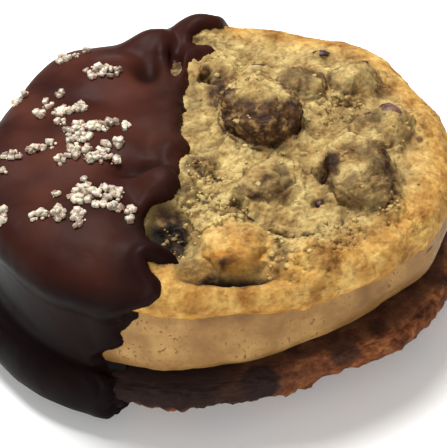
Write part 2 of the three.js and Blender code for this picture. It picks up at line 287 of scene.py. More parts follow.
def slide_over_domes(point):
    """Moves a point of the top round the dome of the tall lump that it belongs to."""
    warp = noise.noise_vector(point / 6) * 0.8 + noise.noise_vector(point / 2.6) * 0.3
    skirt = 0
    for lump in TALL_LUMPS:
        cx, cy, rx, ry, height, degrees = lump
        loose = 1 if degrees > 90 else 1.9
        share = dome_share(lump, point.x + loose * warp.x, point.y + loose * warp.y)
        foot = height * FOOT_SHARE
        if share < 1:
            full = math.radians(degrees)
            angle = share * full
            out = math.sin(angle) / max(share, 1e-6) / math.sin(full)
            rise = (height - foot) * (math.cos(angle) - math.cos(full)) / (1 - math.cos(full)) + foot
            return Vector((cx + (point.x - cx) * out, cy + (point.y - cy) * out, point.z + rise))
        skirt = max(skirt, foot * ease(SKIRT_REACH, 1, share))
    return point + Vector((0, 0, skirt))


tallest = slide_over_domes(Vector((*TALL_LUMPS[0][:2], TOP_PLANE)))
print("the tallest lump's top is", round(tallest.z, 1), "mm up")


# %% [markdown]
# The dip line is a curve on the top, seen from above, with the fingers and the bay of bare dough that show.
# Down the side it drifts towards -X, away from the middle, because the chocolate drained while it set. The drift
# is a list of heights with the shift along X at each. The distance of each point from this line says how thick
# the chocolate is there.

# %% The dip line
DIP_LINE = [(6, 56), (5, 44), (4.6, 37), (1.6, 34), (-2.6, 32.2), (-2.6, 30.6), (0.4, 30), (1.2, 28.6),
            (-2, 27), (-4, 24.4), (-4.6, 19), (-5.5, 13),
            (-5.8, 5), (-6, 0.5), (-4.8, -3.4), (-7, -8), (-7.2, -12.5), (-6.3, -16.4), (-8.4, -20),
            (-12, -21.4), (-12.8, -26), (-11.8, -30.6), (-8.4, -33.4), (-12.2, -36), (-12.6, -37.2),
            (-10.8, -39.8), (-11.8, -41.8), (-13.6, -44), (-14, -56)]
DIP_DRIFT = [(-10, -11), (8, -11), (14, -10.8), (18, -7.8), (24.5, -8), (31, 0), (60, 0)]
DIP_PIECES = 150
FAR_ALONG = 14
dip_points = curve_through(DIP_LINE, DIP_PIECES)


def drift_at(z):
    for (low_z, low), (high_z, high) in zip(DIP_DRIFT, DIP_DRIFT[1:]):
        if z < high_z:
            return mix(low, high, ease(low_z, high_z, z))
    return 0


def into_dip(x, y, z):
    """Distance from the dip line in mm: above 0 on the chocolate side."""
    x -= drift_at(z)
    best, side = 1e9, 1
    for (ax, ay), (bx, by) in zip(dip_points, dip_points[1:]):
        if abs(ay - y) > FAR_ALONG and abs(by - y) > FAR_ALONG:
            continue
        ux, uy, px, py = bx - ax, by - ay, x - ax, y - ay
        t = min(max((px * ux + py * uy) / (ux * ux + uy * uy), 0), 1)
        gap = math.hypot(px - t * ux, py - t * uy)
        if gap < best:
            best, side = gap, ux * py - uy * px
    return -best if side > 0 else best


print("dip line of", len(dip_points), "points; the middle of the dipped side is",
      round(into_dip(-30, 0, TOP_PLANE), 1), "mm in")


# %% [markdown]
# Every colour is written as on a screen and turned to light values by one function, and one function adds a
# shader node with its settings and links. Paint says where a finish changes: each point of a piece carries
# three shares, red for stain and painted shade (painted light on the chocolate's top), green for browning and
# blue for painted shade in deep places, and the shader reads them.

# %% Helpers for finishes and pieces
def light(hex_code):
    def linear(part):
        c = int(part, 16) / 255
        return c / 12.92 if c <= 0.04045 else ((c + 0.055) / 1.055) ** 2.4
    return (*(linear(hex_code[i:i + 2]) for i in (1, 3, 5)), 1)


def add(tree, kind, inputs=None, stops=None, **settings):
    made = tree.nodes.new(kind)
    for name, value in settings.items():
        setattr(made, name, value)
    if stops:
        ramp = made.color_ramp.elements
        while len(ramp) < len(stops):
            ramp.new(0.5)
        for element, (position, value) in zip(ramp, stops):
            element.position, element.color = position, value
    for name, value in (inputs or {}).items():
        if isinstance(value, bpy.types.NodeSocket):
            tree.links.new(value, made.inputs[name])
        else:
            made.inputs[name].default_value = value
    return made


def new_material(name, **shader_values):
    """A material, its tree and its shader, with plain numbers on the shader's own sockets."""
    material = bpy.data.materials.new(name)
    material.use_nodes = True
    tree = material.node_tree
    shader = tree.nodes["Principled BSDF"]
    for socket, value in shader_values.items():
        shader.inputs[socket.replace("_", " ")].default_value = value
    return material, tree, shader


def finish_piece(bm, name, material, node=None):
    """Turns a shape in mm into a smooth piece in metres, on the body and in place of its node."""
    bmesh.ops.scale(bm, vec=[1 / PER_METRE] * 3, verts=bm.verts[:])
    mesh = bpy.data.meshes.new(name)
    bm.to_mesh(mesh)
    bm.free()
    mesh.shade_smooth()
    mesh.materials.append(material)
    piece = bpy.data.objects.new(name, mesh)
    bpy.context.scene.collection.objects.link(piece)
    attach(piece, "root")
    if node:
        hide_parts(node)
    print(name, sum(len(p.vertices) - 2 for p in mesh.polygons), "triangles")
    return piece


# %% [markdown]
# Baked dough is matt and dry. Its crumb is pale, grey-beige in the middle and golden at the rim, where it
# browned first. Melted chocolate stains the dough over the chips. The grain of sugar and flour is about
# a millimetre, and the crumb about two. Both are bumps in the finish, and anything larger is in the mesh.

# %% Colours of the upper cookie
dough, tree, shader = new_material("baked_dough", Roughness=0.78, IOR=1.45, Specular_IOR_Level=0.15)
place = add(tree, "ShaderNodeTexCoord").outputs["Object"]
paint = add(tree, "ShaderNodeAttribute", attribute_name="paint").outputs["Color"]
shares = add(tree, "ShaderNodeSeparateColor", {0: paint})
blotch = add(tree, "ShaderNodeTexNoise", {"Vector": place, "Scale": 200, "Detail": 6, "Roughness": 0.68})
grain = add(tree, "ShaderNodeTexNoise", {"Vector": place, "Scale": 900, "Detail": 5, "Roughness": 0.65})
crumb = add(tree, "ShaderNodeTexNoise", {"Vector": place, "Scale": 420, "Detail": 3, "Roughness": 0.55})
pale = add(tree, "ShaderNodeValToRGB", {0: blotch.outputs[0]},
           [(0.34, light("#6E5530")), (0.44, light("#977C4B")), (0.56, light("#B09A64")),
            (0.68, light("#CEB87A"))])
gold = add(tree, "ShaderNodeValToRGB", {0: blotch.outputs[0]},
           [(0.34, light("#8C5620")), (0.5, light("#B48036")), (0.66, light("#D0A252"))])
# The red share mixes in these tones: a chip stain, and painted shade in hollows and on the shaded fronts of
# lumps.
stain_and_shade_tone = add(tree, "ShaderNodeValToRGB", {0: crumb.outputs[0]},
              [(0.36, light("#2E1A0C")), (0.54, light("#4E341B")), (0.68, light("#87693F"))])
browned = add(tree, "ShaderNodeMix", {0: shares.outputs[1], 6: pale.outputs[0], 7: gold.outputs[0]},
              data_type="RGBA")
stained_and_shaded = add(tree, "ShaderNodeMix", {0: shares.outputs[0], 6: browned.outputs[2], 7: stain_and_shade_tone.outputs[0]},
              data_type="RGBA")
specks = add(tree, "ShaderNodeValToRGB", {0: grain.outputs[0]},
             [(0.34, (0.4, 0.36, 0.3, 1)), (0.5, (1, 1, 1, 1))])
speckled = add(tree, "ShaderNodeMix", {0: 0.55, 6: stained_and_shaded.outputs[2], 7: specks.outputs[0]},
               data_type="RGBA", blend_type="MULTIPLY")
# The blue share mixes in near-black painted shade: creases, pits, recesses and the lower side of the cookie.
deep = add(tree, "ShaderNodeMix", {0: shares.outputs[2], 6: speckled.outputs[2], 7: light("#150C07")},
           data_type="RGBA")
tree.links.new(deep.outputs[2], shader.inputs["Base Color"])
print(dough.name, "has", len(tree.nodes), "nodes for its colours")

# %% Surface of the upper cookie
fine = add(tree, "ShaderNodeBump", {"Height": grain.outputs[0], "Strength": 0.45, "Distance": 0.0006})
lumpy = add(tree, "ShaderNodeBump", {"Height": crumb.outputs[0], "Strength": 0.4, "Distance": 0.001,
                                     "Normal": fine.outputs[0]})
wet = add(tree, "ShaderNodeMapRange", {0: shares.outputs[0], 1: 0.3, 2: 1, 3: 0.78, 4: 0.55})
tree.links.new(wet.outputs[0], shader.inputs["Roughness"])
tree.links.new(lumpy.outputs[0], shader.inputs["Normal"])
print("and", len(tree.nodes), "with its surface")

# %% [markdown]
# Stains mark where a chip lies just under the dough. The same list paints shade into hollows, holes and clefts,
# under the tallest lump and on the shaded sides of some lumps. Each is x, y, two radii and a strength. The tall
# lumps are darkened on their front too, partly a stain where chocolate shows through the stretched dough and
# partly painted shade on the steep faces turned away from the key lamp, and a strength above 1 there says that
# the darkening covers the whole front half. In the crumbly places the dough is broken: each is x, y and a radius.

# %% Stains, painted shade and crumbly places, in mm
STAINS_AND_SHADE = [(14.2, -0.8, 1.5, 2.8, 1.0), (9, -5, 5, 2.6, 0.7), (19.6, -14, 2.2, 4.4, 1.2), (29.2, -16, 3.4, 9, 0.9),
          (24.6, -11.5, 4.6, 1.8, 0.35), (25, -22, 6, 4, 0.55), (17, -20.8, 1.4, 1.4, 0.9),
          (31, 14.6, 2.6, 4, 0.6), (16.4, 15, 4.2, 5, 0.75), (20.5, 17, 3, 3, 0.5), (28, 1.6, 4, 2.8, 0.6),
          (35.6, -0.5, 1.8, 5, 0.55), (9.4, -18.6, 3.6, 2.2, 0.85), (11.4, -15.4, 1.2, 3.6, 0.6),
          (2.7, -21, 1.4, 2.8, 1.0), (-2.6, -8.6, 3.4, 2.2, 0.9), (-4.6, -11, 2.4, 2, 0.6),
          (0, -38.2, 8.6, 2, 1.0), (10, -28, 2.8, 1.6, 0.7), (-1.2, 19.8, 1.4, 2.6, 1.0),
          (1.4, 13, 2.8, 5.6, 0.9), (-3.4, 12, 1.8, 6, 0.5), (13, 22.4, 2.4, 1.4, 0.5), (-3, 3, 3, 2, 0.3),
          (2.4, 18.6, 3, 1.8, 0.5),
          (-9.4, -26.6, 3.6, 7.4, 1.1), (9.2, -34, 1.8, 4.4, 0.55), (-6.6, -35.6, 3, 2, 0.5),
          (-4.8, -30, 1.4, 3.6, 0.5), (-5.4, -16.6, 1.8, 3, 0.7), (0.6, -24, 3.4, 1.4, 0.5),
          (-3.6, -22.4, 2, 1, 0.8), (37.3, -3.2, 0.8, 0.8, 1.0), (28.6, 3, 0.8, 0.8, 1.0),
          (15.5, -7.8, 0.8, 0.6, 0.8), (25, -38.6, 1.6, 0.9, 1.0), (14, -28, 1, 0.7, 0.9),
          (5, -24.6, 0.9, 0.7, 0.9), (-7, 24.4, 1.8, 4.6, 0.9), (-1.4, 31.4, 3.4, 1.4, 0.6),
          (34.6, 12, 1.2, 3, 0.3), (16.5, -35.5, 3, 2.4, 0.35), (30, 23.4, 1.4, 0.8, 0.9)]
# Strength of the stain and painted shade on the front of each tall lump.
FRONT_STAIN_AND_SHADE = [1.35, 0.6, 0.6, 0.6, 0.7, 0.75, 0.35]
MARK_REACH = 1.25

CRUMBLY = [(13.5, -34.6, 7.5), (-3, -13, 4.5), (1, -24, 4.5), (-4.5, -18, 4.5), (21, -29, 4), (-9, -28, 6),
           (-2, 26, 4), (5, 12, 5), (32, -25, 5), (24, 8, 5)]


# Chip stains and painted shade, from the list of marks.
def stain_and_shade_at(x, y):
    most = 0
    for cx, cy, rx, ry, strength in STAINS_AND_SHADE:
        if abs(x - cx) < MARK_REACH * rx and abs(y - cy) < MARK_REACH * ry:
            share = math.hypot((x - cx) / rx, (y - cy) / ry)
            most = max(most, strength * ease(MARK_REACH, 0.55, share))
    return most


# The mark at the foot of the tallest lump is painted shade under it.
print(len(STAINS_AND_SHADE), "stains, and the tallest lump's foot is stained by", round(stain_and_shade_at(9, -5), 2))

# %% [markdown]
# The upper cookie replaces its plain solid. Its ball is made finer three times: over the part that the chocolate
# leaves bare, over the top there, and over the two tallest lumps. The lumps and hollows then give it its form.
# Left of one plane the chocolate covers it, so it stays plain there.

# %% Form of the upper cookie
COVERED_X = -14


def widen_top(turn, z):
    return reach_at(TOP_REACH, turn) / COOKIE_RADIUS


upper = layer_from_ball(6, TOP_SECTION, TOP_LOW, lambda z: 1 if z > TOP_LOW + 0.8 else 0.3, widen_top,
                        [lambda p: p.x > COVERED_X, lambda p: p.x > -10 and p.z > TOP_LOW + 5.4,
                         lambda p: p.z > TOP_LOW + 5 and any(dome_share(lump, p.x, p.y) < 0.98
                                                             for lump in TALL_LUMPS[:2])])
paint_layer = upper.verts.layers.float_color.new("paint")
flat_place = {}
for v in upper.verts:
    x, y, z = v.co
    flat_place[v] = (x, y, z, math.hypot(x, y) / reach_at(TOP_REACH, math.atan2(y, x)))
    up = ease(TOP_LOW + 3.5, TOP_LOW + 6.5, z)
    lifted = Vector((x, y, z + up * soft_relief(x, y) + lean_at(x, z)))
    v.co = slide_over_domes(lifted) if up > 0.5 and x > COVERED_X else lifted
upper.normal_update()
normals = {v: v.normal.copy() for v in upper.verts}
print("upper cookie of", len(upper.verts), "points")

# %% [markdown]
# Layers of noise make the crumb. Turbulence gives puffs of about 3.6 mm with creases between them, and over it
# come soft swells and a fine grit. The rim and the golden mound at the front are smoother, and the crumbly
# places are rougher. The paint is worked out from the same numbers: a crease gets painted shade, a low place
# between swells a little painted shade, the lower side of the cookie a touch of it, and the rim and the mound
# are golden. Three places get painted shade that is nearly black: the pit in the bay of the dip line, the
# recess under the mound, and the cleft beside the second lump.

# %% Numbers for crumb and paint
PUFF_SIZE = 3.6
PUFF_OCTAVES = 4
PUFF_FALL = 0.62
PUFF_FINER = 2.1
MEAN_PUFF = 0.5
MOUND = TALL_LUMPS[6]
# Ovals that get nearly black painted shade: x, y and two radii.
BAY_PIT_SHADE = (-10, -26.6, 4.8, 8.4)
FRONT_RECESS_SHADE = (0.6, -38.2, 9, 1.6)
LUMP_CLEFT_SHADE = (19.4, -14, 1.4, 2.8)


def puffs_at(p, size, shift):
    return noise.turbulence(p / size + Vector(shift), PUFF_OCTAVES, True, amplitude_scale=PUFF_FALL,
                            frequency_scale=PUFF_FINER)


def front_stain_and_shade(p, normal, soft):
    """Stain and painted shade on the front of the tall lumps, by slope, and by place on the tallest one."""
    most = 0
    for lump, front in zip(TALL_LUMPS, FRONT_STAIN_AND_SHADE):
        cy, ry = lump[1], lump[3]
        if normal.z < 0.9 and p.y < cy + 0.5 * ry and dome_share(lump, p.x, p.y) < 1.2:
            most = max(most, front * ease(0.96, 0.76, normal.z))
        if front > 1 and dome_share(lump, p.x, p.y) < 1.1:
            most = max(most, front * ease(cy + 0.05 * ry, cy - 0.5 * ry, p.y + soft))
    return most


# Painted shade, nearly black, in the pit of the bay, the recess under the mound and the cleft beside the second
# lump.
def shade_in_pits_at(x, y, patch):
    bay = 0.97 * ease(1.1, 0.5, dome_share(BAY_PIT_SHADE, x, y)) * ease(0.78, 0.6, patch)
    recess = 0.85 * ease(1.2, 0.5, dome_share(FRONT_RECESS_SHADE, x, y))
    cleft = 0.7 * ease(1.1, 0.6, dome_share(LUMP_CLEFT_SHADE, x, y))
    return max(bay, recess, cleft)


print("puffs at the middle:", round(puffs_at(Vector((0, 0, TOP_PLANE)), PUFF_SIZE, (1, 2, 8)), 2))

# %% Crumb and paint of the upper cookie
puff_heights = []
for v in upper.verts:
    x, y, z, share = flat_place[v]
    p = v.co.copy()
    rim = ease(0.74, 0.93, share + 0.04 * noise.noise(p / 5))
    side = 1 - ease(TOP_LOW + 1, TOP_LOW + 5.5, z)
    broken = max(ease(1.2, 0.5, math.dist((x, y), (cx, cy)) / radius) for cx, cy, radius in CRUMBLY)
    mound = ease(1.25, 0.9, dome_share(MOUND, x, y))
    smooth = max(rim, mound)

    puffs = puffs_at(p, PUFF_SIZE, (1, 2, 8))
    puff_heights.append(puffs)
    grit = noise.fractal(p / 0.9, 0.8, 2.1, 2) * mix(0.16, 0.1, rim)
    swell = noise.noise(p / 4.5 + Vector((7, 2, 4)))
    wave = noise.noise(p / 9) * 0.5 + swell * mix(0.8, 0.25, smooth)
    move = (puffs - MEAN_PUFF) * (mix(1, 0.34, smooth) + 0.9 * broken) + wave + grit
    v.co = p + normals[v] * move * (0.25 if x < COVERED_X else 1)

    soft = 1.6 * noise.noise(p / 2.4)
    patch = 0.5 + 0.5 * noise.noise(p / 2.2 + Vector((3, 3, 3)))
    # Painted shade in the low places between swells, carried in the red share with the stains.
    low_place_shade = ease(0, -0.4, swell) * (1 - smooth)
    stain_and_shade = max(stain_and_shade_at(v.co.x, v.co.y), front_stain_and_shade(p, normals[v], soft))
    stain_and_shade = (stain_and_shade * mix(0.7, 1.2, patch) + 0.1 * ease(0.55, 0.8, patch) + 0.25 * low_place_shade) * (1 - side)
    baked_mound = mound * mix(0.35, 0.95, ease(-31, -35, y + soft))
    golden = max(0.66 * rim, side, baked_mound) * mix(0.75, 1.15, patch) + 0.12 * patch
    # Painted shade through the blue share: in creases, in the nearly black pits, and a touch on the lower side.
    crease_shade = ease(0.42, 0.14, puffs) * mix(0.55, 0.25, rim) * (0.7 + broken)
    depth = max(crease_shade, shade_in_pits_at(v.co.x, v.co.y, patch), 0.12 * side)
    v[paint_layer] = (min(stain_and_shade, 1), min(golden, 1), min(depth, 1), 1)
print("puffs run from", round(min(puff_heights), 2), "to", round(max(puff_heights), 2), "with the mean",
      round(sum(puff_heights) / len(puff_heights), 2))
cookie_top = finish_piece(upper, "cookie_top_baked", dough, "top_cookie")

# %% [markdown]
# Crumbs lie loose where the dough is broken. One crumb is a small ball of 80 faces, squeezed and dented by
# noise, and a seeded draw strews some hundreds of them, most in the crumbly places. A ray straight down onto
# the finished cookie finds the height of each.

# %% Helpers for small things on a surface
RAY_FROM = 80


def surface_of(piece):
    """A finished piece's surface in mm, for rays."""
    mesh = piece.data
    return BVHTree.FromPolygons([v.co * PER_METRE for v in mesh.vertices],
                                [tuple(p.vertices) for p in mesh.polygons])


def straight_down(surface, x, y):
    return surface.ray_cast(Vector((x, y, RAY_FROM)), Vector((0, 0, -1)))[0]


def lump_of(bm, at, sizes, turn, dent):
    """Adds a dented ball, squeezed to its sizes and turned about Z."""
    ball = bmesh.ops.create_icosphere(bm, subdivisions=2, radius=0.5)["verts"]
    for v in ball:
        v.co += v.co * noise.noise(v.co * 2.4 + at) * dent
    bmesh.ops.scale(bm, vec=sizes, verts=ball)
    bmesh.ops.rotate(bm, cent=(0, 0, 0), matrix=Matrix.Rotation(turn, 3, "Z"), verts=ball)
    bmesh.ops.translate(bm, vec=at, verts=ball)
    return ball


dough_surface = surface_of(cookie_top)
print("the dough's height at its middle:", round(straight_down(dough_surface, 0, 0).z, 1), "mm")

# %% Loose crumbs
CRUMBS_PER_MM = 9
STREWN_WIDELY = (14, -4, 30, 130)
LARGEST_OUT = 39
DARK_SHARE = 0.06

draw = random.Random(4)
crumbs = bmesh.new()
crumb_paint = crumbs.verts.layers.float_color.new("paint")
places = [(cx, cy, radius, int(radius * CRUMBS_PER_MM)) for cx, cy, radius in CRUMBLY] + [STREWN_WIDELY]
for cx, cy, radius, count in places:
    for _ in range(count):
        angle, out = draw.uniform(0, math.tau), radius * math.sqrt(draw.random())
        x, y = cx + out * math.cos(angle), cy + out * math.sin(angle)
        size = 0.35 + 0.75 * draw.random() ** 2
        hit = straight_down(dough_surface, x, y)
        if hit is None or into_dip(x, y, TOP_PLANE) > -1 or math.hypot(x, y) > LARGEST_OUT:
            continue
        # A crumb is dark at random, or where the dough under it has a chip stain or dark painted shade.
        dark = draw.random() < DARK_SHARE or stain_and_shade_at(x, y) > 0.8
        sizes = (size * draw.uniform(0.8, 1.3), size, size * draw.uniform(0.6, 0.9))
        for v in lump_of(crumbs, hit + Vector((0, 0, 0.1 * size)), sizes, draw.uniform(0, math.tau), 0.6):
            v[crumb_paint] = (0.6 if dark else 0, 0.25 * ease(30, 38, math.hypot(x, y)), 0, 1)
finish_piece(crumbs, "loose_crumbs", dough)

# %% [markdown]
# A few chips show bare at the top of the dough. Each is a dented ball pressed most of the way in, in dark
# chocolate with a dry, greyish film. A chip is x, y, length, width, height and turn.

# %% Bare chips
chip_finish, tree, shader = new_material("bare_chip_chocolate", Roughness=0.5, IOR=1.46, Specular_IOR_Level=0.3)
place = add(tree, "ShaderNodeTexCoord").outputs["Object"]
film = add(tree, "ShaderNodeTexNoise", {"Vector": place, "Scale": 400, "Detail": 4, "Roughness": 0.6})
shade = add(tree, "ShaderNodeValToRGB", {0: film.outputs[0]},
            [(0.46, light("#2A100B")), (0.62, light("#6E4838"))])
tree.links.new(shade.outputs[0], shader.inputs["Base Color"])

BARE_CHIPS = [(32.6, 3.8, 5.2, 4.4, 3, -0.5), (9.8, 21.9, 5.4, 2, 0.9, -0.3), (22, 26.4, 3.6, 1.8, 0.8, -0.3),
              (30, 22.2, 2.2, 1.3, 0.8, -0.4), (17.4, -20.4, 2.2, 1.8, 1.2, 0.3)]
chips = bmesh.new()
for x, y, long, wide, high, turn in BARE_CHIPS:
    middle = straight_down(dough_surface, x, y) - Vector((0, 0, 0.22 * high))
    lump_of(chips, middle, (long, wide, high), turn, 0.35)
finish_piece(chips, "bare_chips", chip_finish)

# %% [markdown]
# The ice cream is smooth where it was pressed, with small air pits and specks, and a soft satin surface. A
# little light passes into it, which subsurface scattering shows.

# %% Finish of the ice cream
cream, tree, shader = new_material("churned_ice_cream", Roughness=0.55, IOR=1.38, Subsurface_Weight=0.15,
                                   Subsurface_Scale=0.002)
place = add(tree, "ShaderNodeTexCoord").outputs["Object"]
cloud = add(tree, "ShaderNodeTexNoise", {"Vector": place, "Scale": 120, "Detail": 4, "Roughness": 0.6})
frost = add(tree, "ShaderNodeTexNoise", {"Vector": place, "Scale": 1100, "Detail": 4, "Roughness": 0.6})
bits = add(tree, "ShaderNodeTexNoise", {"Vector": place, "Scale": 1300, "Detail": 2, "Roughness": 0.5})
tone = add(tree, "ShaderNodeValToRGB", {0: cloud.outputs[0]},
           [(0.34, light("#785427")), (0.5, light("#8E6938")), (0.66, light("#A7834B"))])
dots = add(tree, "ShaderNodeValToRGB", {0: bits.outputs[0]}, [(0.35, (1, 1, 1, 1)), (0.4, (0, 0, 0, 1))])
some = add(tree, "ShaderNodeValToRGB", {0: cloud.outputs[0]}, [(0.46, (0, 0, 0, 1)), (0.6, (1, 1, 1, 1))])
shown = add(tree, "ShaderNodeMath", {0: dots.outputs[0], 1: some.outputs[0]}, operation="MULTIPLY")
tinted = add(tree, "ShaderNodeMix", {0: shown.outputs[0], 6: tone.outputs[0], 7: light("#6A4520")},
             data_type="RGBA")
pitted = add(tree, "ShaderNodeBump", {"Height": frost.outputs[0], "Strength": 0.5, "Distance": 0.0005})
tree.links.new(tinted.outputs[2], shader.inputs["Base Color"])
tree.links.new(pitted.outputs[0], shader.inputs["Normal"])
print(cream.name, "has", len(tree.nodes), "nodes")

# %% [markdown]
# The disc replaces the plain ice cream. Few of its points go to the two flat faces, which the cookies hide. Air
# left pits in its side where the noise is high, and pressing left faint level streaks.

# %% Ice cream disc
AIR_CELL = 1.7
PIT_SHARE = 0.3
PIT_DEPTH = 0.6

disc = layer_from_ball(6, ICE_SECTION, ICE_LOW,
                       lambda z: 0.12 if z > ICE_LOW + 12.9 or z < ICE_LOW + 0.2 else 1,
                       lambda turn, z: reach_at(ICE_REACH, turn) / ICE_RADIUS)
for v in disc.verts:
    x, y, z = v.co
    v.co.z += lean_at(x, z)
disc.normal_update()
for v in disc.verts:
    p = v.co.copy()
    near = noise.voronoi((p + Vector((2, 8, 5))) / AIR_CELL)[0][0]
    pit = max(0, PIT_SHARE - near) / PIT_SHARE * ease(-0.1, 0.3, noise.noise(p / 3))
    streak = noise.noise(Vector((p.x / 14, p.y / 14, p.z / 1.6))) * 0.22
    v.co = p + v.normal * (noise.fractal(p / 3, 0.9, 2, 3) * 0.16 + streak - pit * PIT_DEPTH)
finish_piece(disc, "ice_cream_disc", cream, "ice_cream")

# %% [markdown]
# The lower cookie lies upside down under the ice cream. It is browner than the upper one, its flat baked side is
# up, and chips show as dark patches along its edge. Painted shade darkens it towards the chocolate, nearly to
# black under the layers above, and darkens its cracks and its flat top under the ice cream.

# %% Finish of the lower cookie
baked, tree, shader = new_material("well_baked_dough", Roughness=0.75, IOR=1.45, Specular_IOR_Level=0.25)
place = add(tree, "ShaderNodeTexCoord").outputs["Object"]
paint = add(tree, "ShaderNodeAttribute", attribute_name="paint").outputs["Color"]
shares = add(tree, "ShaderNodeSeparateColor", {0: paint})
blotch = add(tree, "ShaderNodeTexNoise", {"Vector": place, "Scale": 300, "Detail": 5, "Roughness": 0.66})
grain = add(tree, "ShaderNodeTexNoise", {"Vector": place, "Scale": 900, "Detail": 5, "Roughness": 0.65})
brown = add(tree, "ShaderNodeValToRGB", {0: blotch.outputs[0]},
            [(0.34, light("#3F1D0C")), (0.5, light("#733F1E")), (0.66, light("#A0673A"))])
# The red share mixes in near-black: the chips at the edge, and painted shade in cracks, on the flat top and
# towards the chocolate.
dark = add(tree, "ShaderNodeMix", {0: shares.outputs[0], 6: brown.outputs[0], 7: light("#21100B")},
           data_type="RGBA")
fine = add(tree, "ShaderNodeBump", {"Height": grain.outputs[0], "Strength": 0.7, "Distance": 0.0006})
tree.links.new(dark.outputs[2], shader.inputs["Base Color"])
tree.links.new(fine.outputs[0], shader.inputs["Normal"])
print(baked.name, "has", len(tree.nodes), "nodes")

# %% [markdown]
# It replaces its plain solid. Lumps like those of the upper cookie stand under it, and it rests on the middle
# one. A chip at the edge is x, y, z, radius and a strength.

# %% Lower cookie
UNDER_PUFF = 3.4
FLAT_TOP = 11.2
UNDER_LUMPS = [(0, 0, 11, 3.4), (22, 13, 9, 3.8), (20, -17, 9.5, 4), (1, 26, 8.5, 3.8), (-2, -27, 8.5, 3.8),
               (33, -2, 7, 3.6), (10, 14, 6.5, 2.2), (9, -34, 5.5, 1.8), (-10, 12, 6, 2)]
EDGE_CHIPS = [(4, -41, 9, 4, 3), (19, -34, 9.6, 3.4, 2), (28, -29, 9, 3, 1.6), (37.5, -18, 9.6, 3.4, 2),
              (-3, -41.5, 5, 6, 2.2), (33, -27, 5, 3, 1.6)]

lower = layer_from_ball(7, BOTTOM_SECTION, 0, lambda z: 0.2 if z > 10.9 else 1,
                        lambda turn, z: reach_at(BOTTOM_REACH, turn) / BOTTOM_RADIUS)
paint_layer = lower.verts.layers.float_color.new("paint")
for v in lower.verts:
    x, y, z = v.co
    down = 1 - ease(4.5, 7.5, z)
    v.co.z = z - down * height_of(UNDER_LUMPS, x, y) * ease(-19, -12, x)
lower.normal_update()
normals = {v: v.normal.copy() for v in lower.verts}
for v in lower.verts:
    p = v.co.copy()
    puffs = puffs_at(p, UNDER_PUFF, (4, 1, 6))
    crack_shade = ease(0.4, 0.14, puffs)
    move = (puffs - MEAN_PUFF) * 1.1 + noise.noise(p / 8) * 0.5
    flat = ease(10.2, 10.9, p.z)
    v.co = p + normals[v] * move * mix(1, 0.15, flat)
    v.co.z = min(max(v.co.z, 0), FLAT_TOP)
    chip = max(ease(1.3, 0.7, math.dist(p, (cx, cy, cz)) / radius) * strength / 3
               for cx, cy, cz, radius, strength in EDGE_CHIPS)
    # Painted shade: darker towards the chocolate and up under the ice cream, on the flat top, and in the cracks.
    shade_near_coat_and_ice = ease(26, -6, p.x + 3 * noise.noise(p / 4)) * ease(4.5, 7.5, p.z + 1.5 * noise.noise(p / 3))
    v[paint_layer] = (min(1, max(chip * 1.2, flat * 0.75, crack_shade * 0.5, shade_near_coat_and_ice)), 0, 0, 1)
finish_piece(lower, "cookie_bottom_baked", baked, "bottom_cookie")

# %% [markdown]
# Dark chocolate that sets in the cold has a satin gloss with broad, soft highlights. Its top is painted lighter
# and red-brown as painted light from the lamp above and behind, and its side and foot are painted nearly black as
# painted shade. The paint's red share says how much of that painted light a place gets, and its blue share where
# the coat is sunk, which gets painted shade. Its surface is smooth, with only shallow waves from draining.

# %% Finish of the chocolate
chocolate, tree, shader = new_material("set_dark_chocolate", Roughness=0.46, IOR=1.46, Specular_IOR_Level=0.045)
place = add(tree, "ShaderNodeTexCoord").outputs["Object"]
cloud = add(tree, "ShaderNodeTexNoise", {"Vector": place, "Scale": 60, "Detail": 3, "Roughness": 0.5})
waves = add(tree, "ShaderNodeTexNoise", {"Vector": place, "Scale": 210, "Detail": 2, "Roughness": 0.5})
dust = add(tree, "ShaderNodeTexNoise", {"Vector": place, "Scale": 1500, "Detail": 2, "Roughness": 0.5})
paint = add(tree, "ShaderNodeAttribute", attribute_name="paint").outputs["Color"]
shares = add(tree, "ShaderNodeSeparateColor", {0: paint})
# Painted light and shade: a near-black tone for the side and foot and a lighter red-brown one for the top, mixed
# by the red share.
shaded_side_tone = add(tree, "ShaderNodeValToRGB", {0: cloud.outputs[0]},
            [(0.35, light("#0D0607")), (0.65, light("#170A08"))])
lit_top_tone = add(tree, "ShaderNodeValToRGB", {0: cloud.outputs[0]},
            [(0.35, light("#35150F")), (0.65, light("#4A261C"))])
coated = add(tree, "ShaderNodeMix", {0: shares.outputs[0], 6: shaded_side_tone.outputs[0], 7: lit_top_tone.outputs[0]},
             data_type="RGBA")
# The blue share mixes in near-black painted shade where the coat is sunk.
body = add(tree, "ShaderNodeMix", {0: shares.outputs[2], 6: coated.outputs[2], 7: light("#080303")},
           data_type="RGBA")
sheen = add(tree, "ShaderNodeMapRange", {0: cloud.outputs[0], 1: 0.3, 2: 0.7, 3: 0.42, 4: 0.54})
rolling = add(tree, "ShaderNodeBump", {"Height": waves.outputs[0], "Strength": 0.35, "Distance": 0.0007})
dusted = add(tree, "ShaderNodeBump", {"Height": dust.outputs[0], "Strength": 0.06, "Distance": 0.0002,
                                      "Normal": rolling.outputs[0]})
tree.links.new(body.outputs[2], shader.inputs["Base Color"])
tree.links.new(sheen.outputs[0], shader.inputs["Roughness"])
tree.links.new(dusted.outputs[0], shader.inputs["Normal"])
print(chocolate.name, "has", len(tree.nodes), "nodes")

# %% [markdown]
# The coat is a skin. Its ball takes the outer form of the whole stack, what lies far past the dip line is cut
# away, and the mesh is made finer near the line. The lumps and hollows of the dough show through it, and swells
# are where it pooled. A small window near the back shows bare dough. Five rounds of smoothing make it flow.

